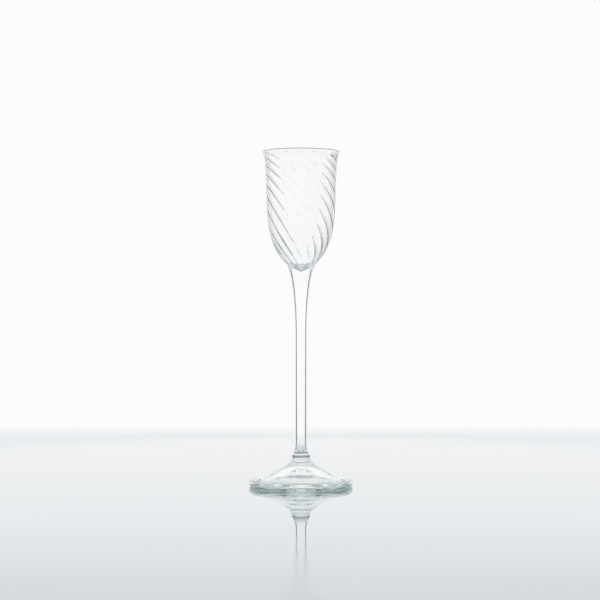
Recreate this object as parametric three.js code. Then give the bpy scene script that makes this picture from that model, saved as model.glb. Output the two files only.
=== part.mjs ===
// A tall-stemmed schnapps glass in clear blown glass: a bowl with twisted optic ribs and a
// turned-out lip, a drawn stem, a collar and a spread foot, fused one on another.
// Millimetres, +Z up, origin in the middle of the plane that the foot rests on, front towards -Y.
import * as THREE from "three";

// Foot: a disc raised to a neck in the middle, hollow below, standing on a flat ring
const FOOT_RADIUS = 27.9;
const FOOT_HEIGHT = 15.4;
const FOOT_EDGE = 3.7;
const FOOT_SLOPE = 4.5; // degrees that the disc falls towards its edge
const FOOT_NECK_RADIUS = 5.0;
const FOOT_NECK_DROP = 2.5; // how far the neck runs straight down before it spreads
const FOOT_SPREAD = 9.1; // how far the disc runs straight in from its edge
const FOOT_REST_WIDTH = 7; // width of the ring that stands on the table
const FOOT_HOLLOW = 8; // height of the hollow under the middle
const FOOT_HOLLOW_CROWN = 3.5; // how far the hollow runs level from the middle
const FOOT_HOLLOW_SLOPE = 24; // degrees that the hollow falls towards the ring
const FOOT_HOLLOW_SPREAD = 9; // how far the hollow runs straight in from the ring

// Collar: a wafer of glass between the foot and the stem
const COLLAR_HEIGHT = 3.2;
const COLLAR_RADIUS = 4.9;
const CREASE = 0.6; // how far the glass draws in at a fused joint

// Stem: drawn thin in the middle, flared at both ends, with its top cupped to the bowl's round bottom
const STEM_LENGTH = 100;
const STEM_RADIUS = 2.9;
const STEM_WAIST = 2.83; // radius where it is thinnest, on top of the lower flare
const STEM_FOOT_RADIUS = 3.5;
const STEM_TOP_RADIUS = 7.3;
const STEM_FOOT_FLARE = 4.8; // length of the flare above the collar
const STEM_WAIST_RUN = 9; // height over which it widens again above the waist
const STEM_TOP_FLARE = 48.4; // length of the flare below the bowl
const STEM_TOP_CONE = 12.8; // how far down the flare runs straight from the bowl
const STEM_TOP_TAPER = 0.357; // radius lost for each millimetre of that cone
const SEAT_DEPTH = 5.6; // how deep the bowl's bottom sits in the stem
const SEAT_CROWN = 3.0; // how far that bottom runs level from the middle
const SEAT_RUN = 4.0; // how far it runs straight in from the joint's edge

// Bowl: a blown beaker, thick at the floor, with a fire-polished lip
const BOWL_HEIGHT = 61.4;
const BOWL_RADIUS = 19.65; // over the ribs, below the lip
const BOWL_WALL = 0.6; // in the grooves between the ribs
const BOWL_FLOOR = 2.6; // glass under the deepest point of the hollow
const BOWL_SWELL = 20.3; // how strongly the outside swells from the joint
const BOWL_SWELL_ANGLE = 44.4; // degrees above level at which it leaves the joint
const BOWL_HOLLOW_SWELL = 24; // how strongly the hollow swells from its deepest point
const BOWL_HOLLOW_ANGLE = 32; // degrees above level at which it leaves that point
const BOWL_SHOULDER = 25.8; // how far the outside runs straight down from the lip
const BOWL_HOLLOW_SHOULDER = 35; // how far the hollow runs straight down from the lip
const BOWL_TAPER = 0.1; // radius lost for each millimetre of those runs
const LIP_RADIUS = 20.8;
const LIP_FLARE = 4.0; // height over which the lip turns out
const LIP_THICKNESS = 1.0;
const LIP_TILT = 40; // degrees that the lip leans out

// Ribs: crests that wind down the bowl, faster near the lip
const RIB_COUNT = 18;
const RIB_DEPTH = 0.5; // crest to groove, outside
const RIB_SWELL = 0.5; // crest to groove, inside
const RIB_FADE = 0.35; // share of both that is lost on the way up to the lip
const RIB_RUN_IN = 7; // height over which the ribs rise out of the joint
const RIB_START = 58.6; // degrees from the front to a crest at the joint
const RIB_TWIST = 113.6; // degrees of even twist over the bowl's height
const RIB_LIP_TWIST = 59; // degrees more, gathered near the lip
const RIB_LIP_POWER = 4;

// Facets
const COLUMNS_PER_RIB = 4;
const FOOT_COLUMNS = 64;
const COLLAR_COLUMNS = 32;
const BODY_ROWS = 18;
const HOLLOW_ROWS = 13;
const FLARE_ROWS = 3;
const EDGE_ROWS = 5;
const DISC_ROWS = 8;
const STEM_ROWS = 8;
const WAIST_ROWS = 3;
const SEAT_ROWS = 5;

// Levels where the pieces meet
const COLLAR_LEVEL = FOOT_HEIGHT;
const STEM_LEVEL = COLLAR_LEVEL + COLLAR_HEIGHT;
const BOWL_LEVEL = STEM_LEVEL + STEM_LENGTH;

// The bowl and the stem share their columns, so that they meet facet for facet
const BOWL_COLUMNS = RIB_COUNT * COLUMNS_PER_RIB;

const radians = THREE.MathUtils.degToRad;
const at = (radius, height) => new THREE.Vector2(radius, height);

// A point a given length away from another, at an angle above level.
function stepFrom(point, length, degrees) {
  const angle = radians(degrees);
  return at(point.x + length * Math.cos(angle), point.y + length * Math.sin(angle));
}

// A smooth curve between two points, pulled by a handle at each end.
function sweep(rows, start, startHandle, endHandle, end) {
  return new THREE.CubicBezierCurve(start, startHandle, endHandle, end).getSpacedPoints(rows);
}

// Part of a circle, with its angles counted from level, outwards.
function roundEdge(rows, centre, radius, from, to) {
  const { x, y } = centre;
  const clockwise = to < from;
  return new THREE.EllipseCurve(x, y, radius, radius, radians(from), radians(to), clockwise).getPoints(rows);
}

// Runs of points joined into one outline, with each shared end kept once.
function outline(...runs) {
  const points = runs.flat();
  return points.filter((point, i) => i === 0 || point.distanceTo(points[i - 1]) > Number.EPSILON);
}

// A closed solid of revolution about +Z, with its first column at an angle from the front.
function turned(profile, columns, start = 0) {
  return new THREE.LatheGeometry(profile, columns, start).rotateX(Math.PI / 2);
}

function footProfile() {
  const edgeRadius = FOOT_EDGE / 2;
  const edgeCentre = at(FOOT_RADIUS - edgeRadius, edgeRadius);
  const edgeTop = 90 - FOOT_SLOPE;
  const edge = roundEdge(EDGE_ROWS, edgeCentre, edgeRadius, -90, edgeTop);
  const discEnd = edge.at(-1);
  const discHandle = stepFrom(discEnd, FOOT_SPREAD, 180 - FOOT_SLOPE);
  const neck = at(FOOT_NECK_RADIUS, FOOT_HEIGHT - CREASE);
  const neckHandle = at(FOOT_NECK_RADIUS, neck.y - FOOT_NECK_DROP);
  const hollowEdge = at(edgeCentre.x - FOOT_REST_WIDTH, 0);
  const hollowHandle = stepFrom(hollowEdge, FOOT_HOLLOW_SPREAD, 180 - FOOT_HOLLOW_SLOPE);
  const hollowTop = at(0, FOOT_HOLLOW);
  return outline(
    sweep(DISC_ROWS, hollowTop, at(FOOT_HOLLOW_CROWN, FOOT_HOLLOW), hollowHandle, hollowEdge),
    edge,
    sweep(DISC_ROWS, discEnd, discHandle, neckHandle, neck),
    [at(FOOT_NECK_RADIUS - CREASE, FOOT_HEIGHT), at(0, FOOT_HEIGHT)],
  );
}

function collarProfile() {
  return outline(
    [at(0, 0), at(COLLAR_RADIUS - CREASE, 0)],
    [at(COLLAR_RADIUS, CREASE), at(STEM_FOOT_RADIUS, COLLAR_HEIGHT), at(0, COLLAR_HEIGHT)],
  );
}

// The round bottom of the bowl, from the middle to the joint's edge at the given level.
function seat(level) {
  const bottom = at(0, level - SEAT_DEPTH);
  const edge = at(STEM_TOP_RADIUS, level);
  const bottomHandle = at(SEAT_CROWN, bottom.y);
  const edgeHandle = stepFrom(edge, -SEAT_RUN, BOWL_SWELL_ANGLE);
  return sweep(SEAT_ROWS, bottom, bottomHandle, edgeHandle, edge);
}

function stemProfile() {
  const foot = at(STEM_FOOT_RADIUS, 0);
  const waist = at(STEM_WAIST, STEM_FOOT_FLARE);
  const slimLow = at(STEM_RADIUS, STEM_FOOT_FLARE + STEM_WAIST_RUN);
  const slimHigh = at(STEM_RADIUS, STEM_LENGTH - STEM_TOP_FLARE);
  const top = at(STEM_TOP_RADIUS, STEM_LENGTH);
  const footHandle = at((STEM_FOOT_RADIUS + STEM_WAIST) / 2, STEM_FOOT_FLARE / 3);
  const waistHandle = at(STEM_WAIST, STEM_FOOT_FLARE * 2 / 3);
  const widenHandle = at(STEM_WAIST, waist.y + STEM_WAIST_RUN / 3);
  const slimHandle = at(STEM_RADIUS, slimLow.y - STEM_WAIST_RUN / 3);
  const highHandle = at(STEM_RADIUS, (slimHigh.y + top.y - STEM_TOP_CONE) / 2);
  const coneHandle = at(STEM_TOP_RADIUS - STEM_TOP_TAPER * STEM_TOP_CONE, top.y - STEM_TOP_CONE);
  return outline(
    [at(0, 0)],
    sweep(STEM_ROWS, foot, footHandle, waistHandle, waist),
    sweep(WAIST_ROWS, waist, widenHandle, slimHandle, slimLow),
    sweep(STEM_ROWS, slimHigh, highHandle, coneHandle, top),
    seat(STEM_LENGTH).reverse(),
  );
}

// The bowl without its ribs: the outside up to the lip, then the hollow down to its floor.
function bowlProfile() {
  const neckLevel = BOWL_HEIGHT - LIP_FLARE;
  const joint = at(STEM_TOP_RADIUS, 0);
  const neck = at(BOWL_RADIUS, neckLevel);
  const hollowNeck = at(BOWL_RADIUS - RIB_DEPTH - BOWL_WALL, neckLevel);
  const floor = at(0, BOWL_FLOOR - SEAT_DEPTH);
  const swell = stepFrom(joint, BOWL_SWELL, BOWL_SWELL_ANGLE);
  const hollowSwell = stepFrom(floor, BOWL_HOLLOW_SWELL, BOWL_HOLLOW_ANGLE);
  const below = (point, run) => at(point.x - BOWL_TAPER * run, point.y - run);
  const lipRadius = LIP_THICKNESS / 2;
  const lipCentre = at(LIP_RADIUS - lipRadius, BOWL_HEIGHT - lipRadius);
  const lip = roundEdge(EDGE_ROWS, lipCentre, lipRadius, -LIP_TILT, 180 - LIP_TILT);
  const flare = LIP_FLARE / 3;
  const outside = outline(
    seat(0),
    sweep(BODY_ROWS, joint, swell, below(neck, BOWL_SHOULDER), neck),
    sweep(FLARE_ROWS, neck, at(neck.x, neckLevel + flare), stepFrom(lip[0], -flare, 90 - LIP_TILT), lip[0]),
  );
  const inside = outline(
    lip.slice(1),
    sweep(
      FLARE_ROWS,
      lip.at(-1),
      stepFrom(lip.at(-1), -flare, 90 - LIP_TILT),
      at(hollowNeck.x, neckLevel + flare),
      hollowNeck,
    ),
    sweep(HOLLOW_ROWS, hollowNeck, below(hollowNeck, BOWL_HOLLOW_SHOULDER), hollowSwell, floor),
  );
  return { outside, inside };
}

// The angle of a rib's crest at a height in the bowl: crests go round to the right on their way down.
function crestAngle(height) {
  const share = Math.max(height, 0) / BOWL_HEIGHT;
  return radians(RIB_START - RIB_TWIST * share - RIB_LIP_TWIST * share ** RIB_LIP_POWER);
}

// How far the ribs stand out at a height: nothing at the joint and at the lip, most a little above the joint.
function ribStrength(height) {
  const rise = THREE.MathUtils.smoothstep(height, 0, RIB_RUN_IN);
  const fade = RIB_FADE * THREE.MathUtils.smoothstep(height, RIB_RUN_IN, BOWL_HEIGHT);
  const fall = THREE.MathUtils.smoothstep(height, BOWL_HEIGHT - LIP_FLARE, BOWL_HEIGHT - LIP_THICKNESS);
  return rise * (1 - fade) * (1 - fall);
}

// Turns each column of the bowl along its rib, draws the grooves in and swells the wall inside the crests.
function bowlGeometry() {
  const { outside, inside } = bowlProfile();
  const profile = [...outside, ...inside];
  const geometry = turned(profile, BOWL_COLUMNS);
  const place = geometry.getAttribute("position");
  for (let i = 0; i < place.count; i++) {
    const height = place.getZ(i);
    const column = Math.atan2(place.getX(i), -place.getY(i));
    const crest = Math.abs(Math.cos((RIB_COUNT * column) / 2));
    const isOutside = i % profile.length < outside.length;
    const change = isOutside ? RIB_DEPTH * (crest - 1) : -RIB_SWELL * crest;
    const smooth = Math.hypot(place.getX(i), place.getY(i));
    const radius = Math.max(smooth + change * ribStrength(height), 0);
    const angle = column + crestAngle(height);
    const onAxis = smooth < Number.EPSILON;
    place.setXYZ(i, onAxis ? 0 : radius * Math.sin(angle), onAxis ? 0 : -radius * Math.cos(angle), height);
  }
  geometry.computeVertexNormals();
  return geometry;
}

// Clear soda-lime glass with a trace of green, one material for each piece.
function clearGlass() {
  return new THREE.MeshStandardMaterial({
    color: 0xe6efec,
    roughness: 0.03,
    metalness: 0,
    transparent: true,
    opacity: 0.35,
  });
}

const glass = new THREE.Group();

function addPiece(name, geometry, level) {
  const piece = new THREE.Mesh(geometry, clearGlass());
  piece.name = name;
  piece.position.z = level;
  glass.add(piece);
}

addPiece("foot", turned(footProfile(), FOOT_COLUMNS), 0);
addPiece("collar", turned(collarProfile(), COLLAR_COLUMNS), COLLAR_LEVEL);
addPiece("stem", turned(stemProfile(), BOWL_COLUMNS, crestAngle(0)), STEM_LEVEL);
addPiece("bowl", bowlGeometry(), BOWL_LEVEL);

export default glass;
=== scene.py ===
"""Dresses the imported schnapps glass: four pieces of clear blown glass, fused one on another, on a table top.

The pieces repeat the sizes of the solids with many more facets, so that light bends through them as through
real glass, and each stands in the place of its solid. Where two pieces are fused there is no surface for
light to bend at, so the faces that meet there have a clear material of their own.
"""
import math

import bmesh
import bpy
from bpy.props import FloatProperty, FloatVectorProperty, IntProperty, PointerProperty
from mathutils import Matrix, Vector
from mathutils.geometry import interpolate_bezier


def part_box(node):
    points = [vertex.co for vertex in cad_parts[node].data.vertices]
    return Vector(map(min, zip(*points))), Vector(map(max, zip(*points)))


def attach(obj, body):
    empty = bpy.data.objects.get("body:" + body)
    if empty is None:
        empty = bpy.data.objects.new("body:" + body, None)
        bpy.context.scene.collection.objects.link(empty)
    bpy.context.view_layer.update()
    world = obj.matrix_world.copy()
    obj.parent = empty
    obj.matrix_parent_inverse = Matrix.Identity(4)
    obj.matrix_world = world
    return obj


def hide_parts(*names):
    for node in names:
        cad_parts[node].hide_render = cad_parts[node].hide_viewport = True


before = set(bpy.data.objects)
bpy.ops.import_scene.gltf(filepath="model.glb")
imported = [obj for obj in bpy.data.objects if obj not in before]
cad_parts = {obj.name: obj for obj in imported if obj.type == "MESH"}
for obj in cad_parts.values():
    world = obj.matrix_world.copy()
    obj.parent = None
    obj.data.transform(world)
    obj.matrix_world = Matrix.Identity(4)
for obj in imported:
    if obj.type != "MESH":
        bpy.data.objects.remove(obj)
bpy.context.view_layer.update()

bl_info = {
    "name": "Schnapps glass",
    "version": (1, 0, 0),
    "blender": (4, 5, 0),
    "location": "View3D > Sidebar > Schnapps glass",
    "description": "Builds a tall-stemmed schnapps glass with twisted optic ribs, and the table it stands on",
    "category": "Object",
}

MM = 0.001  # metres in a millimetre
WELD = 1e-7  # metres under which two points are one
PHOTO_SIDE = 600  # pixels, both ways
FOCAL_PIXELS = 1585  # the lens's focal length, in pixels of the photograph

FOOT_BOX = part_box("foot")
COLLAR_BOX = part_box("collar")
STEM_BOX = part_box("stem")
BOWL_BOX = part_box("bowl")

# Kinds of surface along an outline
SKIN = "skin"
HOLLOW = "hollow"
JOINT = "joint"

# Facets along the curves of the outlines
SEAT_ROWS = 24
FOOT_HOLLOW_ROWS = 72
FOOT_EDGE_ROWS = 24
FOOT_SLOPE_ROWS = 88
FOOT_CREASE_ROWS = 8
COLLAR_CREASE_ROWS = 12
COLLAR_BEAD_ROWS = 24
COLLAR_NOTCH_ROWS = 12
STEM_FLARE_ROWS = 40
STEM_WAIST_ROWS = 24
STEM_SHAFT_ROWS = 24
STEM_CONE_ROWS = 96
BOWL_BODY_ROWS = 96
BOWL_FLARE_ROWS = 14
BOWL_LIP_ROWS = 16
BOWL_HOLLOW_ROWS = 84

# How full the small curves are
CREASE_PULL = 0.6  # share of a crease that its rounding reaches over
BEAD_FULLNESS = 0.7  # share of the bead's width that the notch runs in level

# Soda-lime glass, and the waves that each way of working leaves in it
GLASS_IOR = 1.5
BLOWN_WAVE = 14 * MM
DRAWN_STREAK = 3 * MM
DRAWN_STRETCH = 10  # times as long as it is wide
SPREAD_RING = 3 * MM

# Where each finish begins and where it is full, painted shade and painted light among them
ALONG_SKIN = (0.45, 0.95)  # turned away from the eye, from 0 for facing it to 1 for edge on
# Painted shade: a grey line along the lip's bead
LIP_SHADE_BAND = (0.6, 0.35)  # down from the top of the lip, in shares of its thickness
# Painted shade: a grey band along the collar's widest ring
CREASE_SHADE_RING = (0.8 * MM, 0.4 * MM)  # away from the collar's widest ring
# The foot's edge colour: partly its green tint, partly painted shade on its lower part
FOOT_RIM = (1.5, 0.3)  # in from the rim of the foot, in shares of its edge
FOOT_EDGE_FADE = 0.2  # share of the edge's height over which its colour comes in
# Painted shade: the table darker towards the front
TABLE_FRONT_SHADE = (-0.05, -0.32)  # metres, along Y towards the front
TABLE_WORN = (0.15, 0.32)  # metres, away from the glass
# Painted light: the table paler under the foot, where the glass gathers the light
LIT_CORE = 0.75  # share of the lit radius inside which the table is palest

# The table top and the cards
TABLE_HALF = 1.6  # metres from the glass to each of the table's edges
TABLE_DROP = 0.02 * MM  # under the foot, so that the two don't share a plane
THROUGH_GLASS = 0.5  # passes through glass, between none and one


def linear(code):
    """An sRGB hex value as linear red, green and blue."""
    channels = [int(code[i:i + 2], 16) / 255 for i in (0, 2, 4)]
    return tuple(c / 12.92 if c <= 0.04045 else ((c + 0.055) / 1.055) ** 2.4 for c in channels)


# Sizes and colours that a user may change
class FootSizes(bpy.types.PropertyGroup):
    """The spread foot: a disc raised to a neck in the middle, hollow below."""

    radius: FloatProperty(
        name="Radius", description="Over the rounded edge", default=FOOT_BOX[1][0], unit="LENGTH")
    height: FloatProperty(
        name="Height", description="Up to the collar", default=FOOT_BOX[1][2], unit="LENGTH")
    edge: FloatProperty(
        name="Edge", description="Thickness of the rounded edge", default=3.7 * MM, unit="LENGTH")
    slope: FloatProperty(
        name="Slope", description="Fall of the disc towards its edge",
        default=math.radians(4.5), subtype="ANGLE")
    spread: FloatProperty(
        name="Spread", description="Straight run of the disc in from its edge",
        default=9.1 * MM, unit="LENGTH")
    neck_radius: FloatProperty(
        name="Neck radius", description="Under the collar", default=5.0 * MM, unit="LENGTH")
    neck_drop: FloatProperty(
        name="Neck drop", description="Straight run of the neck before it spreads",
        default=2.5 * MM, unit="LENGTH")
    crease: FloatProperty(
        name="Crease", description="How far the glass draws in at the collar",
        default=0.6 * MM, unit="LENGTH")
    rest_width: FloatProperty(
        name="Rest width", description="Ring that stands on the table", default=7.0 * MM, unit="LENGTH")
    hollow: FloatProperty(
        name="Hollow", description="Height of the hollow in the middle", default=8.0 * MM, unit="LENGTH")
    hollow_crown: FloatProperty(
        name="Hollow crown", description="Level run of the hollow from the middle",
        default=3.5 * MM, unit="LENGTH")
    hollow_slope: FloatProperty(
        name="Hollow slope", description="Fall of the hollow towards the ring",
        default=math.radians(24), subtype="ANGLE")
    hollow_spread: FloatProperty(
        name="Hollow spread", description="Straight run of the hollow in from the ring",
        default=9.0 * MM, unit="LENGTH")
    columns: IntProperty(name="Columns", description="Facets round the foot", default=256, min=3)


class CollarSizes(bpy.types.PropertyGroup):
    """The wafer of glass between the foot and the stem."""

    level: FloatProperty(
        name="Level", description="Height of its underside", default=COLLAR_BOX[0][2], unit="LENGTH")
    height: FloatProperty(
        name="Height", description="Up to the stem",
        default=COLLAR_BOX[1][2] - COLLAR_BOX[0][2], unit="LENGTH")
    radius: FloatProperty(
        name="Radius", description="At its widest", default=COLLAR_BOX[1][0], unit="LENGTH")
    crease: FloatProperty(
        name="Crease", description="How far the glass draws in at the foot", default=0.6 * MM, unit="LENGTH")
    bead_level: FloatProperty(
        name="Bead level", description="Its widest ring, above its underside",
        default=0.8 * MM, unit="LENGTH")
    bead_rise: FloatProperty(
        name="Bead rise", description="How full the bead is above that ring", default=0.6 * MM, unit="LENGTH")
    notch_radius: FloatProperty(
        name="Notch radius", description="Where the glass draws in above the bead",
        default=4.2 * MM, unit="LENGTH")
    notch_level: FloatProperty(
        name="Notch level", description="The same, above its underside", default=1.8 * MM, unit="LENGTH")
    columns: IntProperty(name="Columns", description="Facets round the collar", default=192, min=3)


class StemSizes(bpy.types.PropertyGroup):
    """The drawn stem, flared at both ends, with its top cupped to the bowl."""

    level: FloatProperty(
        name="Level", description="Height of its lower end", default=STEM_BOX[0][2], unit="LENGTH")
    length: FloatProperty(
        name="Length", description="From the collar to the edge of the bowl's joint",
        default=STEM_BOX[1][2] - STEM_BOX[0][2], unit="LENGTH")
    radius: FloatProperty(
        name="Radius", description="Half way up", default=2.9 * MM, unit="LENGTH")
    waist: FloatProperty(
        name="Waist", description="Radius where it is thinnest, on top of the lower flare", default=2.83 * MM,
        unit="LENGTH")
    waist_run: FloatProperty(
        name="Waist run", description="Height over which it widens again", default=9.0 * MM, unit="LENGTH")
    foot_radius: FloatProperty(
        name="Foot radius", description="On the collar", default=3.5 * MM, unit="LENGTH")
    top_radius: FloatProperty(
        name="Top radius", description="At the bowl", default=7.3 * MM, unit="LENGTH")
    foot_flare: FloatProperty(
        name="Foot flare", description="Length of the flare above the collar",
        default=4.8 * MM, unit="LENGTH")
    top_flare: FloatProperty(
        name="Top flare", description="Length of the flare below the bowl", default=48.4 * MM, unit="LENGTH")
    top_cone: FloatProperty(
        name="Top cone", description="Straight run of that flare down from the bowl",
        default=12.8 * MM, unit="LENGTH")
    top_taper: FloatProperty(
        name="Top taper", description="Radius lost for each length of that cone", default=0.357)
    seat_depth: FloatProperty(
        name="Seat depth", description="How deep the bowl sits in the stem", default=5.6 * MM, unit="LENGTH")
    seat_crown: FloatProperty(
        name="Seat crown", description="Level run of the seat from the middle",
        default=3.0 * MM, unit="LENGTH")
    seat_run: FloatProperty(
        name="Seat run", description="Straight run of the seat in from its edge",
        default=4.0 * MM, unit="LENGTH")
    columns: IntProperty(name="Columns", description="Facets round the stem", default=180, min=3)


class BowlSizes(bpy.types.PropertyGroup):
    """The blown bowl: a beaker with a turned-out lip and twisted ribs."""

    height: FloatProperty(
        name="Height", description="From the edge of the joint to the lip",
        default=BOWL_BOX[1][2] - STEM_BOX[1][2], unit="LENGTH")
    radius: FloatProperty(
        name="Radius", description="Over the ribs, below the lip", default=19.65 * MM, unit="LENGTH")
    wall: FloatProperty(
        name="Wall", description="Glass in the grooves between the ribs", default=0.6 * MM, unit="LENGTH")
    floor: FloatProperty(
        name="Floor", description="Glass under the deepest point of the hollow",
        default=2.6 * MM, unit="LENGTH")
    swell: FloatProperty(
        name="Swell", description="How strongly the outside swells from the joint",
        default=20.3 * MM, unit="LENGTH")
    swell_angle: FloatProperty(
        name="Swell angle", description="Above level, where it leaves the joint",
        default=math.radians(44.4), subtype="ANGLE")
    hollow_swell: FloatProperty(
        name="Hollow swell", description="How strongly the hollow swells from its deepest point",
        default=24.0 * MM, unit="LENGTH")
    hollow_angle: FloatProperty(
        name="Hollow angle", description="Above level, where it leaves that point",
        default=math.radians(32), subtype="ANGLE")
    shoulder: FloatProperty(
        name="Shoulder", description="Straight run of the outside down from the lip",
        default=25.8 * MM, unit="LENGTH")
    hollow_shoulder: FloatProperty(
        name="Hollow shoulder", description="Straight run of the hollow down from the lip",
        default=35.0 * MM, unit="LENGTH")
    taper: FloatProperty(
        name="Taper", description="Radius lost for each length of those runs", default=0.1)
    lip_radius: FloatProperty(
        name="Lip radius", description="Over the lip", default=20.8 * MM, unit="LENGTH")
    lip_flare: FloatProperty(
        name="Lip flare", description="Height over which the lip turns out", default=4.0 * MM, unit="LENGTH")
    lip_thickness: FloatProperty(
        name="Lip thickness", description="Of the fire-polished lip", default=1.0 * MM, unit="LENGTH")
    lip_tilt: FloatProperty(
        name="Lip tilt", description="How far the lip leans out", default=math.radians(15), subtype="ANGLE")
    ribs: IntProperty(name="Ribs", description="Crests round the bowl", default=18, min=1)
    rib_depth: FloatProperty(
        name="Rib depth", description="Crest to groove, outside", default=0.5 * MM, unit="LENGTH")
    rib_swell: FloatProperty(
        name="Rib swell", description="Crest to groove, inside", default=0.5 * MM, unit="LENGTH")
    rib_fade: FloatProperty(
        name="Rib fade", description="Share of both lost on the way up to the lip",
        default=0.35, subtype="FACTOR")
    rib_run_in: FloatProperty(
        name="Rib run-in", description="Height over which the ribs rise out of the joint",
        default=7.0 * MM, unit="LENGTH")
    rib_start: FloatProperty(
        name="Rib start", description="From the front to a crest at the joint",
        default=math.radians(58.6), subtype="ANGLE")
    rib_twist: FloatProperty(
        name="Rib twist", description="Even twist over the height",
        default=math.radians(113.6), subtype="ANGLE")
    rib_lip_twist: FloatProperty(
        name="Rib lip twist", description="More twist, gathered near the lip",
        default=math.radians(59), subtype="ANGLE")
    rib_lip_power: FloatProperty(
        name="Rib lip power", description="How close to the lip that twist gathers", default=4.0)
    rib_columns: IntProperty(
        name="Columns for each rib", description="Facets across a rib", default=20, min=2)


class GlassFinish(bpy.types.PropertyGroup):
    """Colours of the clear glass, as thin as the wall and as thick as an edge, the painted shade of its edges
    and lines, and the swim in its skin.
    """

    clear: FloatVectorProperty(
        name="Clear", description="Thin glass", default=linear("FFFFFF"), subtype="COLOR", min=0, max=1)
    thick: FloatVectorProperty(
        name="Thick", description="Glass seen along its thickness", default=linear("DCE8E3"), subtype="COLOR",
        min=0, max=1)
    # Painted shade: the dark edges of the bowl and the stem, with a trace of the glass's green
    outline: FloatVectorProperty(
        name="Outline", description="The bowl and the stem seen along their skin", default=linear("6E7C7A"),
        subtype="COLOR", min=0, max=1)
    # Partly the green tint of the thick edge, partly painted shade on its lower part
    foot_edge_tint_and_shade: FloatVectorProperty(
        name="Foot edge", description="The thick rounded edge of the foot", default=linear("B0C6C1"),
        subtype="COLOR", min=0, max=1)
    foot_edge_top: FloatProperty(
        name="Foot edge top", description="Share of the edge's height that shows that colour", default=0.7,
        subtype="FACTOR")
    # Painted shade: the grey line along the lip's bead
    lip_shade: FloatVectorProperty(
        name="Lip edge", description="The bead of the lip, seen along its length", default=linear("B4BCBB"),
        subtype="COLOR", min=0, max=1)
    # Painted shade: the grey band along the ring pressed out between the foot and the stem
    crease: FloatVectorProperty(
        name="Crease", description="The ring pressed out between two gathers", default=linear("808C8C"),
        subtype="COLOR", min=0, max=1)
    blown_ripple: FloatProperty(
        name="Blown ripple", description="Height of the waves in the bowl", default=0.001 * MM, unit="LENGTH")
    drawn_ripple: FloatProperty(
        name="Drawn ripple", description="Height of the streaks in the stem",
        default=0.0003 * MM, unit="LENGTH")
    spread_ripple: FloatProperty(
        name="Spread ripple", description="Height of the rings in the foot",
        default=0.009 * MM, unit="LENGTH")


class StageSettings(bpy.types.PropertyGroup):
    """The table top, the studio round it and the camera."""

    table: FloatVectorProperty(
        name="Table", description="Lacquer of the table top", default=linear("ABBABE"), subtype="COLOR",
        min=0, max=1)
    # Painted light: the table paler under the foot, where the glass gathers the light
    table_painted_light: FloatVectorProperty(
        name="Table under", description="The same under the foot, where the glass gathers the light",
        default=linear("E4EAEA"), subtype="COLOR", min=0, max=1)
    # Painted shade: the table darker towards the front, where less light falls on it
    table_front_shade: FloatVectorProperty(
        name="Table front", description="The same, worn duller towards the front", default=linear("92A3A9"),
        subtype="COLOR", min=0, max=1)
    lit_radius: FloatProperty(
        name="Lit radius", description="Of the table under the foot", default=FOOT_BOX[1][0], unit="LENGTH")
    backdrop: FloatVectorProperty(
        name="Backdrop", description="Paper behind the table", default=linear("FCFCFD"), subtype="COLOR",
        min=0, max=1)
    table_back: FloatProperty(
        name="Table back", description="Where the table begins to go over into the backdrop", default=0.31,
        unit="LENGTH")
    table_end: FloatProperty(
        name="Table end", description="Where the table has gone over into the backdrop", default=0.42,
        unit="LENGTH")
    table_ior: FloatProperty(name="Table IOR", description="Of the lacquer", default=1.5)
    table_roughness: FloatProperty(
        name="Table roughness", description="Polish beside the glass", default=0.004, subtype="FACTOR")
    table_wear: FloatProperty(
        name="Table wear", description="Roughness away from the glass", default=0.2, subtype="FACTOR")
    card: FloatVectorProperty(
        name="Card", description="The dark cards that draw the edges of the glass", default=linear("586060"),
        subtype="COLOR", min=0, max=1)
    card_side: FloatProperty(
        name="Card side", description="From the middle of the glass to each card",
        default=0.22, unit="LENGTH")
    card_near: FloatProperty(
        name="Card near", description="Near edge of each card, before or behind the glass",
        default=0.13, unit="LENGTH")
    card_far: FloatProperty(
        name="Card far", description="Far edge of each card, down at the table", default=0.29, unit="LENGTH")
    card_top: FloatProperty(
        name="Card top", description="Far edge of each card, up at its top", default=0.15,
        unit="LENGTH")
    card_height: FloatProperty(
        name="Card height", description="Above the table", default=0.5, unit="LENGTH")
    camera_distance: FloatProperty(
        name="Camera distance", description="From the middle of the glass", default=0.852, unit="LENGTH")
    camera_height: FloatProperty(
        name="Camera height", description="Above the table", default=0.100, unit="LENGTH")
    camera_angle: FloatProperty(
        name="Camera angle", description="Width of its view",
        default=2 * math.atan(PHOTO_SIDE / 2 / FOCAL_PIXELS), subtype="ANGLE")
    glass_pixel: FloatProperty(
        name="Glass pixel", description="Column of the photograph that the glass stands on", default=301.0)


# Outlines
def step(point, length, angle):
    """A point a given length away from another, at an angle above level."""
    return point + length * Vector((math.cos(angle), math.sin(angle)))


def sweep(rows, start, start_handle, end_handle, end):
    """A smooth curve between two points, pulled by a handle at each end."""
    return interpolate_bezier(start, start_handle, end_handle, end, rows + 1)


def round_edge(rows, centre, radius, start, end):
    """Part of a circle, with its angles counted from level, outwards."""
    return [step(centre, radius, start + (end - start) * i / rows) for i in range(rows + 1)]


def seat_outline(stem, angle, level):
    """The round bottom of the bowl, from the middle to the joint's edge at the given level."""
    bottom = Vector((0, level - stem.seat_depth))
    edge = Vector((stem.top_radius, level))
    return sweep(SEAT_ROWS, bottom, bottom + Vector((stem.seat_crown, 0)), step(edge, -stem.seat_run, angle),
                 edge)


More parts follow.
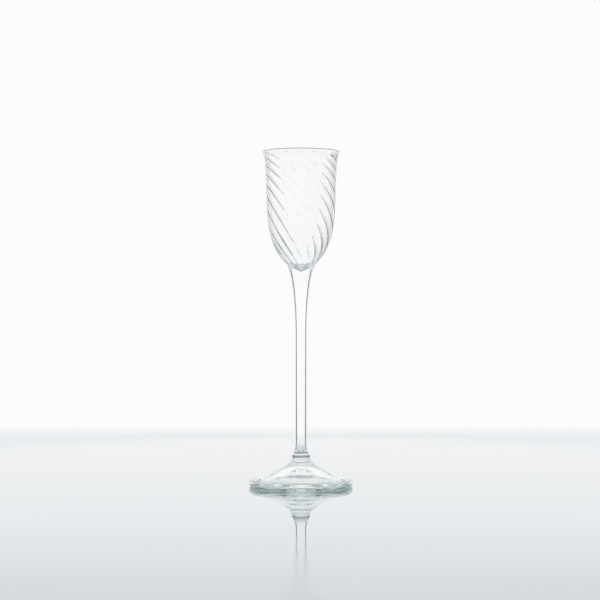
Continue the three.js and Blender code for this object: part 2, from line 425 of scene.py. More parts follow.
def foot_outline(foot, collar):
    """The foot from the crown of its hollow round the edge to its neck."""
    edge_radius = foot.edge / 2
    edge_centre = Vector((foot.radius - edge_radius, edge_radius))
    edge = round_edge(FOOT_EDGE_ROWS, edge_centre, edge_radius, -math.pi / 2, math.pi / 2 - foot.slope)
    neck = Vector((foot.neck_radius, foot.height - foot.crease))
    neck_end = Vector((foot.neck_radius - foot.crease, foot.height))
    joint_edge = Vector((collar.radius - collar.crease, foot.height))
    rest = Vector((edge_centre.x - foot.rest_width, 0))
    crown = Vector((0, foot.hollow))
    pull = CREASE_PULL * foot.crease
    return [
        (SKIN, sweep(FOOT_HOLLOW_ROWS, crown, crown + Vector((foot.hollow_crown, 0)),
                     step(rest, foot.hollow_spread, math.pi - foot.hollow_slope), rest)),
        (SKIN, edge),
        (SKIN, sweep(FOOT_SLOPE_ROWS, edge[-1], step(edge[-1], foot.spread, math.pi - foot.slope),
                     neck - Vector((0, foot.neck_drop)), neck)),
        (SKIN, sweep(FOOT_CREASE_ROWS, neck, neck + Vector((0, pull)), neck_end + Vector((pull, 0)),
                     neck_end)),
        (SKIN, [neck_end, joint_edge]),
        (JOINT, [joint_edge, Vector((0, foot.height))]),
    ]


def collar_outline(collar, stem):
    """The collar from the middle of its underside, round its bead and in at the notch, to the middle of its
    top."""
    start = Vector((collar.radius - collar.crease, 0))
    wide = Vector((collar.radius, collar.bead_level))
    notch = Vector((collar.notch_radius, collar.notch_level))
    top = Vector((stem.foot_radius, collar.height))
    pull = Vector((CREASE_PULL * collar.crease, 0))
    run = Vector((BEAD_FULLNESS * (wide.x - notch.x), 0))
    return [
        (JOINT, [Vector((0, 0)), start]),
        (SKIN, sweep(COLLAR_CREASE_ROWS, start, start + pull, wide - Vector((0, collar.bead_level / 2)),
                     wide)),
        (SKIN, sweep(COLLAR_BEAD_ROWS, wide, wide + Vector((0, collar.bead_rise)), notch + run, notch)),
        (SKIN, sweep(COLLAR_NOTCH_ROWS, notch, notch.lerp(top, 1 / 3), notch.lerp(top, 2 / 3), top)),
        (JOINT, [top, Vector((0, collar.height))]),
    ]


def stem_outline(stem, bowl):
    """The stem from the middle of its lower end up its flares and down into its seat."""
    low = Vector((stem.waist, stem.foot_flare))
    slim = Vector((stem.radius, stem.foot_flare + stem.waist_run))
    lift = Vector((0, stem.waist_run / 3))
    high = Vector((stem.radius, stem.length - stem.top_flare))
    foot = Vector((stem.foot_radius, 0))
    top = Vector((stem.top_radius, stem.length))
    cone = Vector((stem.top_radius - stem.top_taper * stem.top_cone, stem.length - stem.top_cone))
    return [
        (JOINT, [Vector((0, 0)), foot]),
        (SKIN, sweep(STEM_FLARE_ROWS, foot, Vector(((foot.x + low.x) / 2, stem.foot_flare / 3)),
                     Vector((low.x, stem.foot_flare * 2 / 3)), low)),
        (SKIN, sweep(STEM_WAIST_ROWS, low, low + lift, slim - lift, slim)),
        (SKIN, sweep(STEM_SHAFT_ROWS, slim, slim.lerp(high, 1 / 3), slim.lerp(high, 2 / 3), high)),
        (SKIN, sweep(STEM_CONE_ROWS, high, Vector((high.x, (high.y + cone.y) / 2)), cone, top)),
        (JOINT, seat_outline(stem, bowl.swell_angle, stem.length)[::-1]),
    ]


def bowl_outline(bowl, stem):
    """The bowl without its ribs: the seat, the outside up to the lip, then the hollow down to its floor."""
    neck_level = bowl.height - bowl.lip_flare
    joint = Vector((stem.top_radius, 0))
    neck = Vector((bowl.radius, neck_level))
    hollow_neck = Vector((bowl.radius - bowl.rib_depth - bowl.wall, neck_level))
    floor = Vector((0, bowl.floor - stem.seat_depth))
    lip_half = bowl.lip_thickness / 2
    lip_centre = Vector((bowl.lip_radius - lip_half, bowl.height - lip_half))
    lip = round_edge(BOWL_LIP_ROWS, lip_centre, lip_half, -bowl.lip_tilt, math.pi - bowl.lip_tilt)
    flare = bowl.lip_flare / 3
    leaning = math.pi / 2 - bowl.lip_tilt
    shoulder = neck - bowl.shoulder * Vector((bowl.taper, 1))
    hollow_shoulder = hollow_neck - bowl.hollow_shoulder * Vector((bowl.taper, 1))
    return [
        (JOINT, seat_outline(stem, bowl.swell_angle, 0)),
        (SKIN, sweep(BOWL_BODY_ROWS, joint, step(joint, bowl.swell, bowl.swell_angle), shoulder, neck)),
        (SKIN, sweep(BOWL_FLARE_ROWS, neck, neck + Vector((0, flare)), step(lip[0], -flare, leaning),
                     lip[0])),
        (SKIN, lip),
        (HOLLOW, sweep(BOWL_FLARE_ROWS, lip[-1], step(lip[-1], -flare, leaning),
                       hollow_neck + Vector((0, flare)), hollow_neck)),
        (HOLLOW, sweep(BOWL_HOLLOW_ROWS, hollow_neck, hollow_shoulder,
                       step(floor, bowl.hollow_swell, bowl.hollow_angle), floor)),
    ]


# Meshes
def turned(name, runs, columns, level):
    """A closed solid of revolution about +Z, set at a level.

    The outline goes from the axis below, round the outside, back to the axis. Faces of a joint and points of
    a hollow are marked by attributes of those names, and the edges round a joint are sharp.
    """
    outline, kinds, hollows = [], [], []
    for kind, points in runs:
        for point in points:
            if outline and (point - outline[-1]).length < WELD:
                continue
            if outline:
                kinds.append(kind)
            outline.append(point)
            hollows.append(float(kind == HOLLOW))
    places, rings, hollow_marks = [], [], []
    for (radius, height), hollow in zip(outline, hollows):
        count = columns if radius > WELD else 1
        ring = [len(places) + i for i in range(count)]
        for i in range(count):
            angle = math.tau * i / columns
            places.append((radius * math.sin(angle), -radius * math.cos(angle), height + level))
        hollow_marks += [hollow] * count
        rings.append(ring)
    faces, joint_marks, sharp = [], [], set()
    for row, (low, high) in enumerate(zip(rings, rings[1:])):
        for i in range(columns):
            j = (i + 1) % columns
            corners = (low[i % len(low)], low[j % len(low)], high[j % len(high)], high[i % len(high)])
            faces.append(tuple(dict.fromkeys(corners)))
        joint_marks += [kinds[row] == JOINT] * columns
        if row and (kinds[row] == JOINT) != (kinds[row - 1] == JOINT):
            sharp |= {tuple(sorted((low[i], low[(i + 1) % columns]))) for i in range(columns)}
    mesh = bpy.data.meshes.new(name)
    mesh.from_pydata(places, [], faces, shade_flat=False)
    mesh.attributes.new(HOLLOW, "FLOAT", "POINT").data.foreach_set("value", hollow_marks)
    mesh.attributes.new(JOINT, "BOOLEAN", "FACE").data.foreach_set("value", joint_marks)
    for edge in mesh.edges:
        edge.use_edge_sharp = tuple(sorted(edge.vertices)) in sharp
    piece = bpy.data.objects.new(name, mesh)
    bpy.context.scene.collection.objects.link(piece)
    return piece


def dress(piece, skin, joint):
    """Gives a turned piece its two materials, by its marks."""
    mesh = piece.data
    mesh.materials.append(skin)
    mesh.materials.append(joint)
    marks = [mark.value for mark in mesh.attributes[JOINT].data]
    mesh.polygons.foreach_set("material_index", [int(mark) for mark in marks])


def place(piece, node):
    """Puts a finished piece in place of its solid, once it is closed and faces outwards."""
    mesh = piece.data
    for mark in (HOLLOW, JOINT):
        mesh.attributes.remove(mesh.attributes[mark])
    shape = bmesh.new()
    shape.from_mesh(mesh)
    is_closed = all(edge.is_manifold for edge in shape.edges)
    volume = shape.calc_volume(signed=True)
    shape.free()
    if not is_closed or volume <= 0:
        raise RuntimeError(f"{piece.name} isn't a closed piece that faces outwards")
    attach(piece, "root")
    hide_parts(node)


def add_node(tree, kind, inputs, **settings):
    """Adds a node with its settings, and with its inputs linked from sockets or set to values."""
    node = tree.nodes.new(kind)
    for name, value in settings.items():
        setattr(node, name, value)
    for name, value in inputs.items():
        if isinstance(value, bpy.types.NodeSocket):
            tree.links.new(value, node.inputs[name])
        else:
            node.inputs[name].default_value = value
    return node


def rib_tree(values):
    """A node tree that turns each column of a smooth bowl along its rib, draws the grooves in outside and
    swells the wall inside the crests. Each value becomes an input of that name."""
    tree = bpy.data.node_groups.new("Twisted optic ribs", "GeometryNodeTree")
    tree.interface.new_socket("Geometry", in_out="OUTPUT", socket_type="NodeSocketGeometry")
    tree.interface.new_socket("Geometry", in_out="INPUT", socket_type="NodeSocketGeometry")
    for name, value in values.items():
        kind = "NodeSocketMaterial" if isinstance(value, bpy.types.Material) else "NodeSocketFloat"
        tree.interface.new_socket(name, in_out="INPUT", socket_type=kind)
    given = add_node(tree, "NodeGroupInput", {}).outputs
    position = add_node(tree, "GeometryNodeInputPosition", {}).outputs[0]
    xyz = add_node(tree, "ShaderNodeSeparateXYZ", {0: position}).outputs
    height = add_node(tree, "ShaderNodeMath", {0: xyz[2], 1: given["Level"]}, operation="SUBTRACT").outputs[0]
    above = add_node(tree, "ShaderNodeMath", {0: height, 1: 0.0}, operation="MAXIMUM").outputs[0]
    share = add_node(tree, "ShaderNodeMath", {0: above, 1: given["Height"]}, operation="DIVIDE").outputs[0]

    # Where the crests stand out: nothing at the joint and at the lip, most a little above the joint
    rise = add_node(
        tree, "ShaderNodeMapRange", {"Value": height, "From Max": given["Run-in"]},
        interpolation_type="SMOOTHSTEP").outputs["Result"]
    fade = add_node(
        tree, "ShaderNodeMapRange",
        {"Value": height, "From Min": given["Run-in"], "From Max": given["Height"], "To Max": given["Fade"]},
        interpolation_type="SMOOTHSTEP").outputs["Result"]
    flare_level = add_node(
        tree, "ShaderNodeMath", {0: given["Height"], 1: given["Lip flare"]}, operation="SUBTRACT").outputs[0]
    lip_level = add_node(
        tree, "ShaderNodeMath", {0: given["Height"], 1: given["Lip thickness"]},
        operation="SUBTRACT").outputs[0]
    fall = add_node(
        tree, "ShaderNodeMapRange",
        {"Value": height, "From Min": flare_level, "From Max": lip_level, "To Min": 1.0, "To Max": 0.0},
        interpolation_type="SMOOTHSTEP").outputs["Result"]
    kept = add_node(tree, "ShaderNodeMath", {0: 1.0, 1: fade}, operation="SUBTRACT").outputs[0]
    risen = add_node(tree, "ShaderNodeMath", {0: rise, 1: kept}, operation="MULTIPLY").outputs[0]
    strength = add_node(tree, "ShaderNodeMath", {0: risen, 1: fall}, operation="MULTIPLY").outputs[0]

    # Round crests with sharp grooves between them
    back = add_node(tree, "ShaderNodeMath", {0: xyz[1], 1: -1.0}, operation="MULTIPLY").outputs[0]
    column = add_node(tree, "ShaderNodeMath", {0: xyz[0], 1: back}, operation="ARCTAN2").outputs[0]
    half_ribs = add_node(tree, "ShaderNodeMath", {0: given["Ribs"], 1: 0.5}, operation="MULTIPLY").outputs[0]
    turn = add_node(tree, "ShaderNodeMath", {0: column, 1: half_ribs}, operation="MULTIPLY").outputs[0]
    wave = add_node(tree, "ShaderNodeMath", {0: turn}, operation="COSINE").outputs[0]
    crest = add_node(tree, "ShaderNodeMath", {0: wave}, operation="ABSOLUTE").outputs[0]
    groove = add_node(tree, "ShaderNodeMath", {0: crest, 1: 1.0}, operation="SUBTRACT").outputs[0]
    outside = add_node(
        tree, "ShaderNodeMath", {0: groove, 1: given["Depth"]}, operation="MULTIPLY").outputs[0]
    swell = add_node(tree, "ShaderNodeMath", {0: given["Swell"], 1: -1.0}, operation="MULTIPLY").outputs[0]
    inside = add_node(tree, "ShaderNodeMath", {0: crest, 1: swell}, operation="MULTIPLY").outputs[0]
    hollow = add_node(
        tree, "GeometryNodeInputNamedAttribute", {"Name": HOLLOW}, data_type="FLOAT").outputs["Attribute"]
    change = add_node(
        tree, "ShaderNodeMix", {"Factor": hollow, "A": outside, "B": inside},
        data_type="FLOAT").outputs["Result"]
    amount = add_node(tree, "ShaderNodeMath", {0: change, 1: strength}, operation="MULTIPLY").outputs[0]
    level_place = add_node(tree, "ShaderNodeCombineXYZ", {0: xyz[0], 1: xyz[1]}).outputs[0]
    outwards = add_node(tree, "ShaderNodeVectorMath", {0: level_place}, operation="NORMALIZE").outputs[0]
    push = add_node(
        tree, "ShaderNodeVectorMath", {0: outwards, "Scale": amount}, operation="SCALE").outputs[0]
    pushed = add_node(tree, "ShaderNodeVectorMath", {0: position, 1: push}, operation="ADD").outputs[0]

    # The twist, gathered near the lip
    even = add_node(tree, "ShaderNodeMath", {0: share, 1: given["Twist"]}, operation="MULTIPLY").outputs[0]
    near_lip = add_node(
        tree, "ShaderNodeMath", {0: share, 1: given["Lip power"]}, operation="POWER").outputs[0]
    more = add_node(
        tree, "ShaderNodeMath", {0: near_lip, 1: given["Lip twist"]}, operation="MULTIPLY").outputs[0]
    wound = add_node(tree, "ShaderNodeMath", {0: even, 1: more}, operation="ADD").outputs[0]
    angle = add_node(tree, "ShaderNodeMath", {0: given["Start"], 1: wound}, operation="SUBTRACT").outputs[0]
    twisted = add_node(
        tree, "ShaderNodeVectorRotate", {"Vector": pushed, "Angle": angle}, rotation_type="Z_AXIS").outputs[0]

    ribbed = add_node(
        tree, "GeometryNodeSetPosition", {"Geometry": given["Geometry"], "Position": twisted}).outputs[0]
    real = add_node(tree, "GeometryNodeRealizeInstances", {"Geometry": ribbed}).outputs[0]
    skinned = add_node(
        tree, "GeometryNodeSetMaterial", {"Geometry": real, "Material": given["Skin material"]}).outputs[0]
    joint = add_node(
        tree, "GeometryNodeInputNamedAttribute", {"Name": JOINT}, data_type="BOOLEAN").outputs["Attribute"]
    dressed = add_node(
        tree, "GeometryNodeSetMaterial",
        {"Geometry": skinned, "Selection": joint, "Material": given["Joint material"]}).outputs[0]
    add_node(tree, "NodeGroupOutput", {"Geometry": dressed})
    return tree


# Materials
def fire_polished_glass(name, facing_colour, along_tint_and_shade, ripple):
    """Clear soda-lime glass with a skin that the fire has drawn smooth: no grain and no haze, only a faint
    swim in what is seen through it, and a colour where the eye looks along it: a green tint, and darker
    painted shade for the dark edges of the bowl and the stem. The ripple is a function that takes the tree,
    the place and the colour so far, and gives back the colour and a height in metres."""
    material = bpy.data.materials.new(name)
    material.use_nodes = True
    tree = material.node_tree
    shader = tree.nodes["Principled BSDF"]
    shader.inputs["Transmission Weight"].default_value = 1.0
    shader.inputs["Roughness"].default_value = 0.0
    shader.inputs["IOR"].default_value = GLASS_IOR
    spot = add_node(tree, "ShaderNodeTexCoord", {}).outputs["Object"]
    # Painted shade: the glass darker where its skin turns edge on, most on the bowl and the stem
    facing = add_node(tree, "ShaderNodeLayerWeight", {"Blend": 0.5}).outputs["Facing"]
    along = add_node(
        tree, "ShaderNodeMapRange", {"Value": facing, "From Min": ALONG_SKIN[0], "From Max": ALONG_SKIN[1]},
        interpolation_type="SMOOTHSTEP").outputs["Result"]
    tint_and_shade = add_node(
        tree, "ShaderNodeMix", {"Factor": along, "A": (*facing_colour, 1), "B": (*along_tint_and_shade, 1)},
        data_type="RGBA").outputs["Result"]
    colour, height = ripple(tree, spot, tint_and_shade)
    bump = add_node(tree, "ShaderNodeBump", {"Height": height, "Strength": 1.0, "Distance": 1.0})
    tree.links.new(colour, shader.inputs["Base Color"])
    tree.links.new(bump.outputs["Normal"], shader.inputs["Normal"])
    return material


def blown_ripple(finish):
    """Slow waves about 14 mm long, from blowing and turning the glass."""
    def ripple(tree, spot, colour):
        noise = add_node(
            tree, "ShaderNodeTexNoise",
            {"Vector": spot, "Scale": 1 / BLOWN_WAVE, "Detail": 1.0}).outputs["Fac"]
        height = add_node(
            tree, "ShaderNodeMath", {0: noise, 1: finish.blown_ripple}, operation="MULTIPLY").outputs[0]
        return colour, height
    return ripple


def lip_ripple_and_shade(bowl, lip_level, finish):
    """The same waves, and painted shade: a grey line along the lip's bead."""
    def ripple(tree, spot, colour):
        colour, height = blown_ripple(finish)(tree, spot, colour)
        level = add_node(tree, "ShaderNodeSeparateXYZ", {0: spot}).outputs[2]
        # Painted shade: a grey line along the lip's bead
        bead = add_node(
            tree, "ShaderNodeMapRange",
            {"Value": level, "From Min": lip_level - LIP_SHADE_BAND[0] * bowl.lip_thickness,
             "From Max": lip_level - LIP_SHADE_BAND[1] * bowl.lip_thickness},
            interpolation_type="SMOOTHSTEP").outputs["Result"]
        edged = add_node(
            tree, "ShaderNodeMix", {"Factor": bead, "A": colour, "B": (*finish.lip_shade, 1)},
            data_type="RGBA").outputs["Result"]
        return edged, height
    return ripple


def pressed_ripple_and_shade(bead_level, finish):
    """The same waves, and painted shade: a grey band along the ring that was pressed out between the foot and
    the stem.
    """
    def ripple(tree, spot, colour):
        colour, height = blown_ripple(finish)(tree, spot, colour)
        level = add_node(tree, "ShaderNodeSeparateXYZ", {0: spot}).outputs[2]
        above = add_node(tree, "ShaderNodeMath", {0: level, 1: bead_level}, operation="SUBTRACT").outputs[0]
        gap = add_node(tree, "ShaderNodeMath", {0: above}, operation="ABSOLUTE").outputs[0]
        # Painted shade: a grey band along the collar's widest ring
        ring = add_node(
            tree, "ShaderNodeMapRange",
            {"Value": gap, "From Min": CREASE_SHADE_RING[0], "From Max": CREASE_SHADE_RING[1]},
            interpolation_type="SMOOTHSTEP").outputs["Result"]
        edged = add_node(
            tree, "ShaderNodeMix", {"Factor": ring, "A": colour, "B": (*finish.crease, 1)},
            data_type="RGBA").outputs["Result"]
        return edged, height
    return ripple


def drawn_ripple(finish):
    """Streaks 3 mm wide and ten times as long, from drawing the stem out."""
    def ripple(tree, spot, colour):
        along = add_node(
            tree, "ShaderNodeMapping", {"Vector": spot, "Scale": (1.0, 1.0, 1 / DRAWN_STRETCH)}).outputs[0]
        noise = add_node(
            tree, "ShaderNodeTexNoise",
            {"Vector": along, "Scale": 1 / DRAWN_STREAK, "Detail": 1.0}).outputs["Fac"]
        height = add_node(
            tree, "ShaderNodeMath", {0: noise, 1: finish.drawn_ripple}, operation="MULTIPLY").outputs[0]
        return colour, height
    return ripple


def spread_ripple(foot, finish):
    """Rings 3 mm apart, from spinning the foot, and the colour of its thick edge: partly its green tint,
    partly painted shade on its lower part.
    """
    def ripple(tree, spot, colour):
        xyz = add_node(tree, "ShaderNodeSeparateXYZ", {0: spot}).outputs
        flat = add_node(tree, "ShaderNodeCombineXYZ", {0: xyz[0], 1: xyz[1]}).outputs[0]
        radius = add_node(tree, "ShaderNodeVectorMath", {0: flat}, operation="LENGTH").outputs["Value"]
        turns = add_node(
            tree, "ShaderNodeMath", {0: radius, 1: math.tau / SPREAD_RING}, operation="MULTIPLY").outputs[0]
        rings = add_node(tree, "ShaderNodeMath", {0: turns}, operation="SINE").outputs[0]
        height = add_node(
            tree, "ShaderNodeMath", {0: rings, 1: finish.spread_ripple}, operation="MULTIPLY").outputs[0]
        # The edge's colour: partly its green tint, partly painted shade on its lower part
        rim = add_node(
            tree, "ShaderNodeMapRange",
            {"Value": radius, "From Min": foot.radius - FOOT_RIM[0] * foot.edge,
             "From Max": foot.radius - FOOT_RIM[1] * foot.edge},
            interpolation_type="SMOOTHSTEP").outputs["Result"]
        low = add_node(
            tree, "ShaderNodeMapRange",
            {"Value": xyz[2], "From Min": finish.foot_edge_top * foot.edge,
             "From Max": (finish.foot_edge_top - FOOT_EDGE_FADE) * foot.edge},
            interpolation_type="SMOOTHSTEP").outputs["Result"]
        side = add_node(tree, "ShaderNodeMath", {0: rim, 1: low}, operation="MULTIPLY").outputs[0]
        edged = add_node(
            tree, "ShaderNodeMix", {"Factor": side, "A": colour, "B": (*finish.foot_edge_tint_and_shade, 1)},
            data_type="RGBA").outputs["Result"]
        return edged, height
    return ripple


def fused_joint():
    """Where two gathers of hot glass were pressed together: one body of glass, so nothing shows there and
    light goes straight on."""
    material = bpy.data.materials.get("Soda-lime glass, fused joint")
    if material is None:
        material = bpy.data.materials.new("Soda-lime glass, fused joint")
        material.use_nodes = True
        shader = material.node_tree.nodes["Principled BSDF"]
        shader.inputs["Base Color"].default_value = (1.0, 1.0, 1.0, 1.0)
        shader.inputs["Transmission Weight"].default_value = 1.0
        shader.inputs["Roughness"].default_value = 0.0
        shader.inputs["IOR"].default_value = GLASS_IOR
        shader.inputs["Alpha"].default_value = 0.0
    return material


def polished_lacquer(stage):
    """A table top lacquered pale grey and polished: it mirrors what stands on it, sharply beside the glass
    and duller away from it. Its colour is paler under the foot, as painted light for what the glass gathers
    there, and darker towards the front, as painted shade; at the back it goes over into the backdrop."""
    material = bpy.data.materials.new("Table lacquer, polished")
    material.use_nodes = True
    tree = material.node_tree
    shader = tree.nodes["Principled BSDF"]
    shader.inputs["IOR"].default_value = stage.table_ior
    shader.inputs["Coat Weight"].default_value = 1.0
    shader.inputs["Coat IOR"].default_value = stage.table_ior
    spot = add_node(tree, "ShaderNodeTexCoord", {}).outputs["Object"]
    xyz = add_node(tree, "ShaderNodeSeparateXYZ", {0: spot}).outputs
    # Painted shade: the table darker towards the front, where less light falls on it
    shaded = add_node(
        tree, "ShaderNodeMapRange", {"Value": xyz[1], "From Min": TABLE_FRONT_SHADE[0], "From Max": TABLE_FRONT_SHADE[1]},
        interpolation_type="SMOOTHSTEP").outputs["Result"]
    colour = add_node(
        tree, "ShaderNodeMix", {"Factor": shaded, "A": (*stage.table, 1), "B": (*stage.table_front_shade, 1)},
        data_type="RGBA").outputs["Result"]
    distance = add_node(tree, "ShaderNodeVectorMath", {0: spot}, operation="LENGTH").outputs["Value"]
    # Painted light: the table paler under the foot, where the glass gathers the light
    under = add_node(
        tree, "ShaderNodeMapRange",
        {"Value": distance, "From Min": stage.lit_radius, "From Max": LIT_CORE * stage.lit_radius},
        interpolation_type="SMOOTHSTEP").outputs["Result"]
    lit = add_node(
        tree, "ShaderNodeMix", {"Factor": under, "A": colour, "B": (*stage.table_painted_light, 1)},
        data_type="RGBA").outputs["Result"]
    tree.links.new(lit, shader.inputs["Base Color"])
    polish = add_node(
        tree, "ShaderNodeMapRange",
        {"Value": distance, "From Min": TABLE_WORN[0], "From Max": TABLE_WORN[1],
         "To Min": stage.table_roughness, "To Max": stage.table_wear}).outputs["Result"]
    tree.links.new(polish, shader.inputs["Roughness"])
    tree.links.new(polish, shader.inputs["Coat Roughness"])
    gone = add_node(
        tree, "ShaderNodeMapRange",
        {"Value": xyz[1], "From Min": stage.table_back, "From Max": stage.table_end},
        interpolation_type="SMOOTHSTEP").outputs["Result"]
    clear = add_node(tree, "ShaderNodeBsdfTransparent", {}).outputs[0]
    mixed = add_node(tree, "ShaderNodeMixShader", {0: gone, 1: shader.outputs[0], 2: clear}).outputs[0]
    tree.links.new(mixed, tree.nodes["Material Output"].inputs["Surface"])
    return material


def studio_world(stage):
    """White paper all round, as light as it is written: it lights the glass and shows through it."""
    world = bpy.data.worlds.new("Studio paper, white")
    world.use_nodes = True
    background = world.node_tree.nodes["Background"]
    background.inputs["Color"].default_value = (*stage.backdrop, 1)
    background.inputs["Strength"].default_value = 1.0
    return world


def matt_card(stage):
    """Dark grey paper board: it gives little light back, so the glass shows it as fine dark lines. It shows
    through glass alone, so that the open table doesn't mirror it."""
    material = bpy.data.materials.new("Paper board, matt grey")
    material.use_nodes = True
    tree = material.node_tree
    shader = tree.nodes["Principled BSDF"]
    shader.inputs["Base Color"].default_value = (*stage.card, 1)
    shader.inputs["Roughness"].default_value = 1.0
    shader.inputs["Specular IOR Level"].default_value = 0.0
    depth = add_node(tree, "ShaderNodeLightPath", {}).outputs["Transmission Depth"]
    through = add_node(
        tree, "ShaderNodeMath", {0: depth, 1: THROUGH_GLASS}, operation="GREATER_THAN").outputs[0]
    clear = add_node(tree, "ShaderNodeBsdfTransparent", {}).outputs[0]
    shown = add_node(tree, "ShaderNodeMixShader", {0: through, 1: clear, 2: shader.outputs[0]}).outputs[0]
    tree.links.new(shown, tree.nodes["Material Output"].inputs["Surface"])
    return material


# Operators
class SCHNAPPS_OT_foot(bpy.types.Operator):
    """Builds the spread foot"""

    bl_idname = "schnapps.foot"
    bl_label = "Foot"

    def execute(self, context):
        scene = context.scene
        foot, finish = scene.schnapps_foot, scene.schnapps_finish
        piece = turned("spread_foot", foot_outline(foot, scene.schnapps_collar), foot.columns, 0.0)
        skin = fire_polished_glass(
            "Soda-lime glass, spread foot", finish.clear, finish.thick, spread_ripple(foot, finish))
        dress(piece, skin, fused_joint())
        place(piece, "foot")
        return {"FINISHED"}


class SCHNAPPS_OT_collar(bpy.types.Operator):
    """Builds the collar between the foot and the stem"""

    bl_idname = "schnapps.collar"
    bl_label = "Collar"

    def execute(self, context):
        scene = context.scene
        collar, finish = scene.schnapps_collar, scene.schnapps_finish
        piece = turned(
            "fused_collar", collar_outline(collar, scene.schnapps_stem), collar.columns, collar.level)
        skin = fire_polished_glass(
            "Soda-lime glass, pressed collar", finish.clear, finish.thick,
            pressed_ripple_and_shade(collar.level + collar.bead_level, finish))
        dress(piece, skin, fused_joint())
        place(piece, "collar")
        return {"FINISHED"}


class SCHNAPPS_OT_stem(bpy.types.Operator):
    """Builds the drawn stem"""

    bl_idname = "schnapps.stem"
    bl_label = "Stem"

    def execute(self, context):
        scene = context.scene
        stem, finish = scene.schnapps_stem, scene.schnapps_finish
        piece = turned("drawn_stem", stem_outline(stem, scene.schnapps_bowl), stem.columns, stem.level)
        skin = fire_polished_glass(
            "Soda-lime glass, drawn stem", finish.clear, finish.outline, drawn_ripple(finish))
        dress(piece, skin, fused_joint())
        place(piece, "stem")
        return {"FINISHED"}


class SCHNAPPS_OT_bowl(bpy.types.Operator):
    """Builds the blown bowl with its twisted ribs"""

    bl_idname = "schnapps.bowl"
    bl_label = "Bowl"

    def execute(self, context):
        scene = context.scene
        bowl, stem, finish = scene.schnapps_bowl, scene.schnapps_stem, scene.schnapps_finish
        level = stem.level + stem.length
        piece = turned("blown_bowl", bowl_outline(bowl, stem), bowl.ribs * bowl.rib_columns, level)
        values = {
            "Level": level,
            "Height": bowl.height,
            "Ribs": float(bowl.ribs),
            "Depth": bowl.rib_depth,
            "Swell": bowl.rib_swell,
            "Fade": bowl.rib_fade,
            "Run-in": bowl.rib_run_in,
            "Start": bowl.rib_start,
            "Twist": bowl.rib_twist,
            "Lip twist": bowl.rib_lip_twist,
            "Lip power": bowl.rib_lip_power,
            "Lip flare": bowl.lip_flare,
            "Lip thickness": bowl.lip_thickness,
            "Skin material": fire_polished_glass(
                "Soda-lime glass, blown bowl", finish.clear, finish.outline,
                lip_ripple_and_shade(bowl, level + bowl.height, finish)),
            "Joint material": fused_joint(),
        }
        ribs = piece.modifiers.new("Twisted optic ribs", "NODES")
        ribs.node_group = rib_tree(values)
        for socket in ribs.node_group.interface.items_tree:
            if socket.in_out == "INPUT" and socket.name in values:
                ribs[socket.identifier] = values[socket.name]
        graph = context.evaluated_depsgraph_get()
        mesh = bpy.data.meshes.new_from_object(
            piece.evaluated_get(graph), preserve_all_data_layers=True, depsgraph=graph)
        piece.modifiers.remove(ribs)
        piece.data = mesh
        place(piece, "bowl")
        return {"FINISHED"}


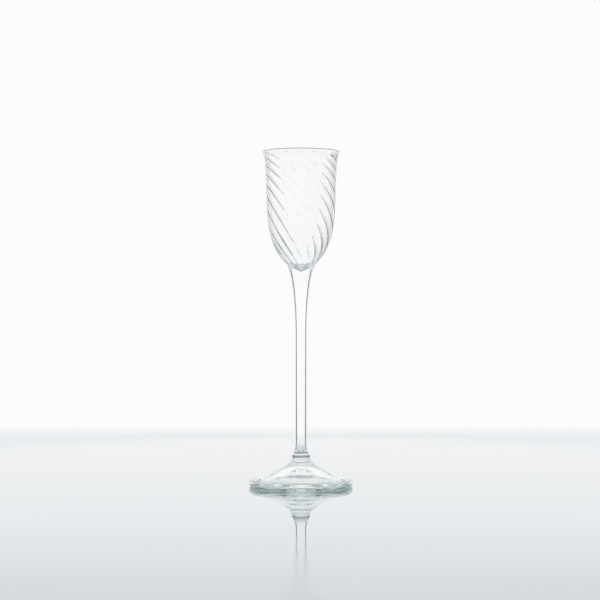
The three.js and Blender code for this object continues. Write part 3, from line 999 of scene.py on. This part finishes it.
class SCHNAPPS_OT_stage(bpy.types.Operator):
    """Sets the table top, the studio light and the camera"""

    bl_idname = "schnapps.stage"
    bl_label = "Stage"

    def execute(self, context):
        scene = context.scene
        stage = scene.schnapps_stage
        mesh = bpy.data.meshes.new("table_top")
        mesh.from_pydata(
            [(x * TABLE_HALF, y * TABLE_HALF, -TABLE_DROP) for x, y in ((-1, -1), (1, -1), (1, 1), (-1, 1))],
            [], [(0, 1, 2, 3)])
        mesh.materials.append(polished_lacquer(stage))
        table = bpy.data.objects.new("table_top", mesh)
        scene.collection.objects.link(table)
        corners = [
            (stage.card_near, -TABLE_DROP), (stage.card_far, -TABLE_DROP),
            (stage.card_top, stage.card_height), (stage.card_near, stage.card_height)]
        mesh = bpy.data.meshes.new("dark_cards")
        mesh.from_pydata(
            [(side * stage.card_side, end * y, z) for side in (-1, 1) for end in (-1, 1) for y, z in corners],
            [], [(0, 1, 2, 3), (4, 5, 6, 7), (8, 9, 10, 11), (12, 13, 14, 15)])
        mesh.materials.append(matt_card(stage))
        cards = bpy.data.objects.new("dark_cards", mesh)
        cards.visible_camera = cards.visible_diffuse = cards.visible_shadow = False
        scene.collection.objects.link(cards)
        scene.world = studio_world(stage)
        scene.view_settings.view_transform = "Standard"
        scene.cycles.max_bounces = 64
        scene.cycles.transmission_bounces = 48
        scene.cycles.glossy_bounces = 48
        scene.cycles.transparent_max_bounces = 48
        scene.cycles.use_denoising = True
        scene.cycles.denoising_input_passes = "RGB"
        scene.cycles.blur_glossy = 0.0
        camera = bpy.data.objects.new("camera", bpy.data.cameras.new("camera"))
        camera.data.sensor_fit = "HORIZONTAL"
        camera.data.angle = stage.camera_angle
        camera.data.shift_x = 0.5 - stage.glass_pixel / PHOTO_SIDE
        camera.location = (0, -stage.camera_distance, stage.camera_height)
        camera.rotation_euler = (math.pi / 2, 0, 0)
        scene.collection.objects.link(camera)
        scene.camera = camera
        return {"FINISHED"}


class VIEW3D_PT_schnapps(bpy.types.Panel):
    """Lists the operators, then the sizes, the finish of the glass and the stage"""

    bl_label = "Schnapps glass"
    bl_space_type = "VIEW_3D"
    bl_region_type = "UI"
    bl_category = "Schnapps glass"

    def draw(self, context):
        for operator in OPERATORS:
            self.layout.operator(operator.bl_idname)
        for name, group in GROUPS.items():
            box = self.layout.box()
            for key in group.__annotations__:
                box.prop(getattr(context.scene, name), key)


GROUPS = {
    "schnapps_foot": FootSizes,
    "schnapps_collar": CollarSizes,
    "schnapps_stem": StemSizes,
    "schnapps_bowl": BowlSizes,
    "schnapps_finish": GlassFinish,
    "schnapps_stage": StageSettings,
}
OPERATORS = (SCHNAPPS_OT_foot, SCHNAPPS_OT_collar, SCHNAPPS_OT_stem, SCHNAPPS_OT_bowl, SCHNAPPS_OT_stage)


def register():
    """Adds the classes, and the settings to the scene."""
    for cls in (*GROUPS.values(), *OPERATORS, VIEW3D_PT_schnapps):
        bpy.utils.register_class(cls)
    for name, group in GROUPS.items():
        setattr(bpy.types.Scene, name, PointerProperty(type=group))


def unregister():
    """Takes the settings and the classes away again."""
    for name in GROUPS:
        delattr(bpy.types.Scene, name)
    for cls in reversed((*GROUPS.values(), *OPERATORS, VIEW3D_PT_schnapps)):
        bpy.utils.unregister_class(cls)


def main():
    """Builds the glass on its table."""
    register()
    bpy.ops.schnapps.foot()
    bpy.ops.schnapps.collar()
    bpy.ops.schnapps.stem()
    bpy.ops.schnapps.bowl()
    bpy.ops.schnapps.stage()


if __name__ == "__main__":
    main()
